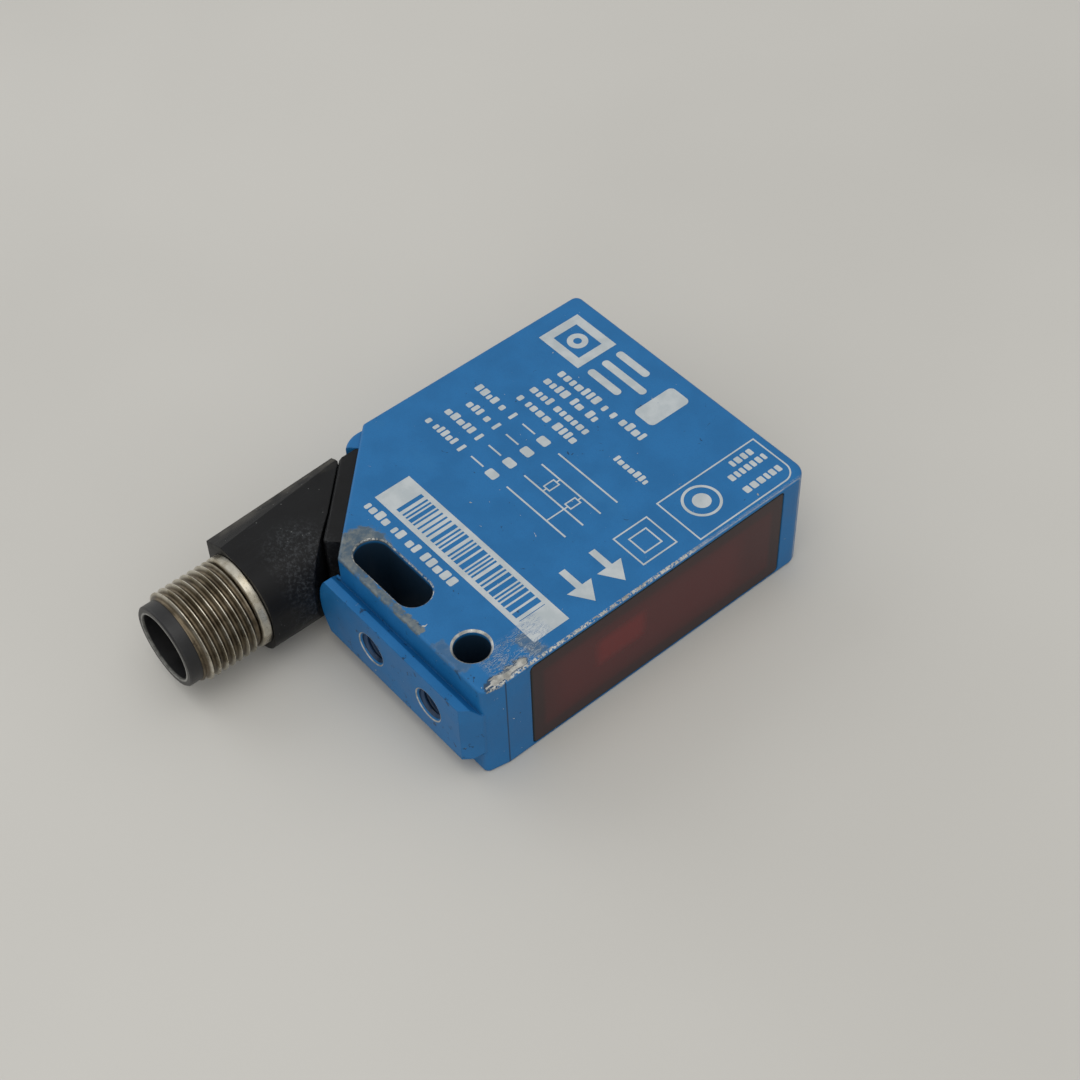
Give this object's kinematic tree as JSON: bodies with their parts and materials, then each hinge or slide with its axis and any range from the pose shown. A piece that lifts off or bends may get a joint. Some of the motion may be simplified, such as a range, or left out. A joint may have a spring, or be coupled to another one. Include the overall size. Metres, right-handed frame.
{
  "type": "photoelectric sensor",
  "caption": "Flat die-cast photoelectric proximity sensor with a tinted light window, mounting holes, a dovetail rail and a swivelling M12 plug.",
  "frame": {"origin": "axis of the round mounting hole, in the plane of the underside", "axes": "+X out of the light window, +Y to the adjuster end, -Y to the plug, +Z out of the marked side"},
  "size_m": [0.0416, 0.0693, 0.015],
  "materials": {
    "housing_paint": "satin blue powder coat",
    "window_tint": "gloss dark red acrylic",
    "seal_rubber": "matte",
    "panel_plastic": "satin black",
    "light_guide": "amber clear",
    "spindle_metal": "turned",
    "optics_plastic": "matte black",
    "lens_clear": "clear",
    "sender_lamp": "red clear",
    "diode_chip": "gloss",
    "board_green": "solder mask",
    "chip_black": "matte",
    "component_tan": "ceramic",
    "indicator_lamp": "clear",
    "socket_white": "satin",
    "lead_insulation": "satin",
    "elbow_plastic": "fine grain",
    "clip_steel": "spring steel",
    "sleeve_nickel": "nickel plated",
    "carrier_plastic": "satin black",
    "pin_gold": "gold plated"
  },
  "bodies": {
    "sensor_body": {"housing": "housing_paint", "front_window": "window_tint", "window_seal": "seal_rubber", "control_panel": "panel_plastic", "indicator_light_guide": "light_guide", "optics_frame": "optics_plastic", "sender_lens": "lens_clear", "receiver_lens": "lens_clear", "light_baffle": "seal_rubber", "sender_led": "sender_lamp", "main_board": "board_green", "evaluation_chip": "chip_black", "output_drivers": "chip_black", "board_passives": "component_tan", "indicator_led": "indicator_lamp", "lead_socket": "socket_white", "board_leads": "lead_insulation", "swivel_flange": "elbow_plastic"},
    "range_adjuster": {"range_screw": "spindle_metal", "range_screw_seal": "seal_rubber"},
    "receiver_slider": {"receiver_carriage": "optics_plastic", "receiver_diode": "diode_chip"},
    "plug": {"connector_elbow": "elbow_plastic", "swivel_seal": "seal_rubber", "swivel_clip": "clip_steel", "threaded_sleeve": "sleeve_nickel", "contact_carrier": "carrier_plastic", "contact_pins": "pin_gold", "plug_leads": "lead_insulation"}
  },
  "joints": [
    {"name": "plug_swivel", "type": "hinge", "parent": "sensor_body", "child": "plug", "pos_m": [-0.02765, 0.00415, 0.0075], "axis": [-0.7071, -0.7071, 0], "range_deg": [0, 180]},
    {"name": "range_turn", "type": "hinge", "parent": "sensor_body", "child": "range_adjuster", "pos_m": [-0.0085, 0.0456, 0.0075], "axis": [0, -1, 0], "range_deg": [-900, 900]},
    {"name": "receiver_shift", "type": "slide", "parent": "sensor_body", "child": "receiver_slider", "axis": [0, 1, 0], "range_m": [-0.001, 0.001]}
  ],
  "couplings": [
    {"joint": "range_turn", "follows": "receiver_shift", "rad_per_m": 15708}
  ]
}
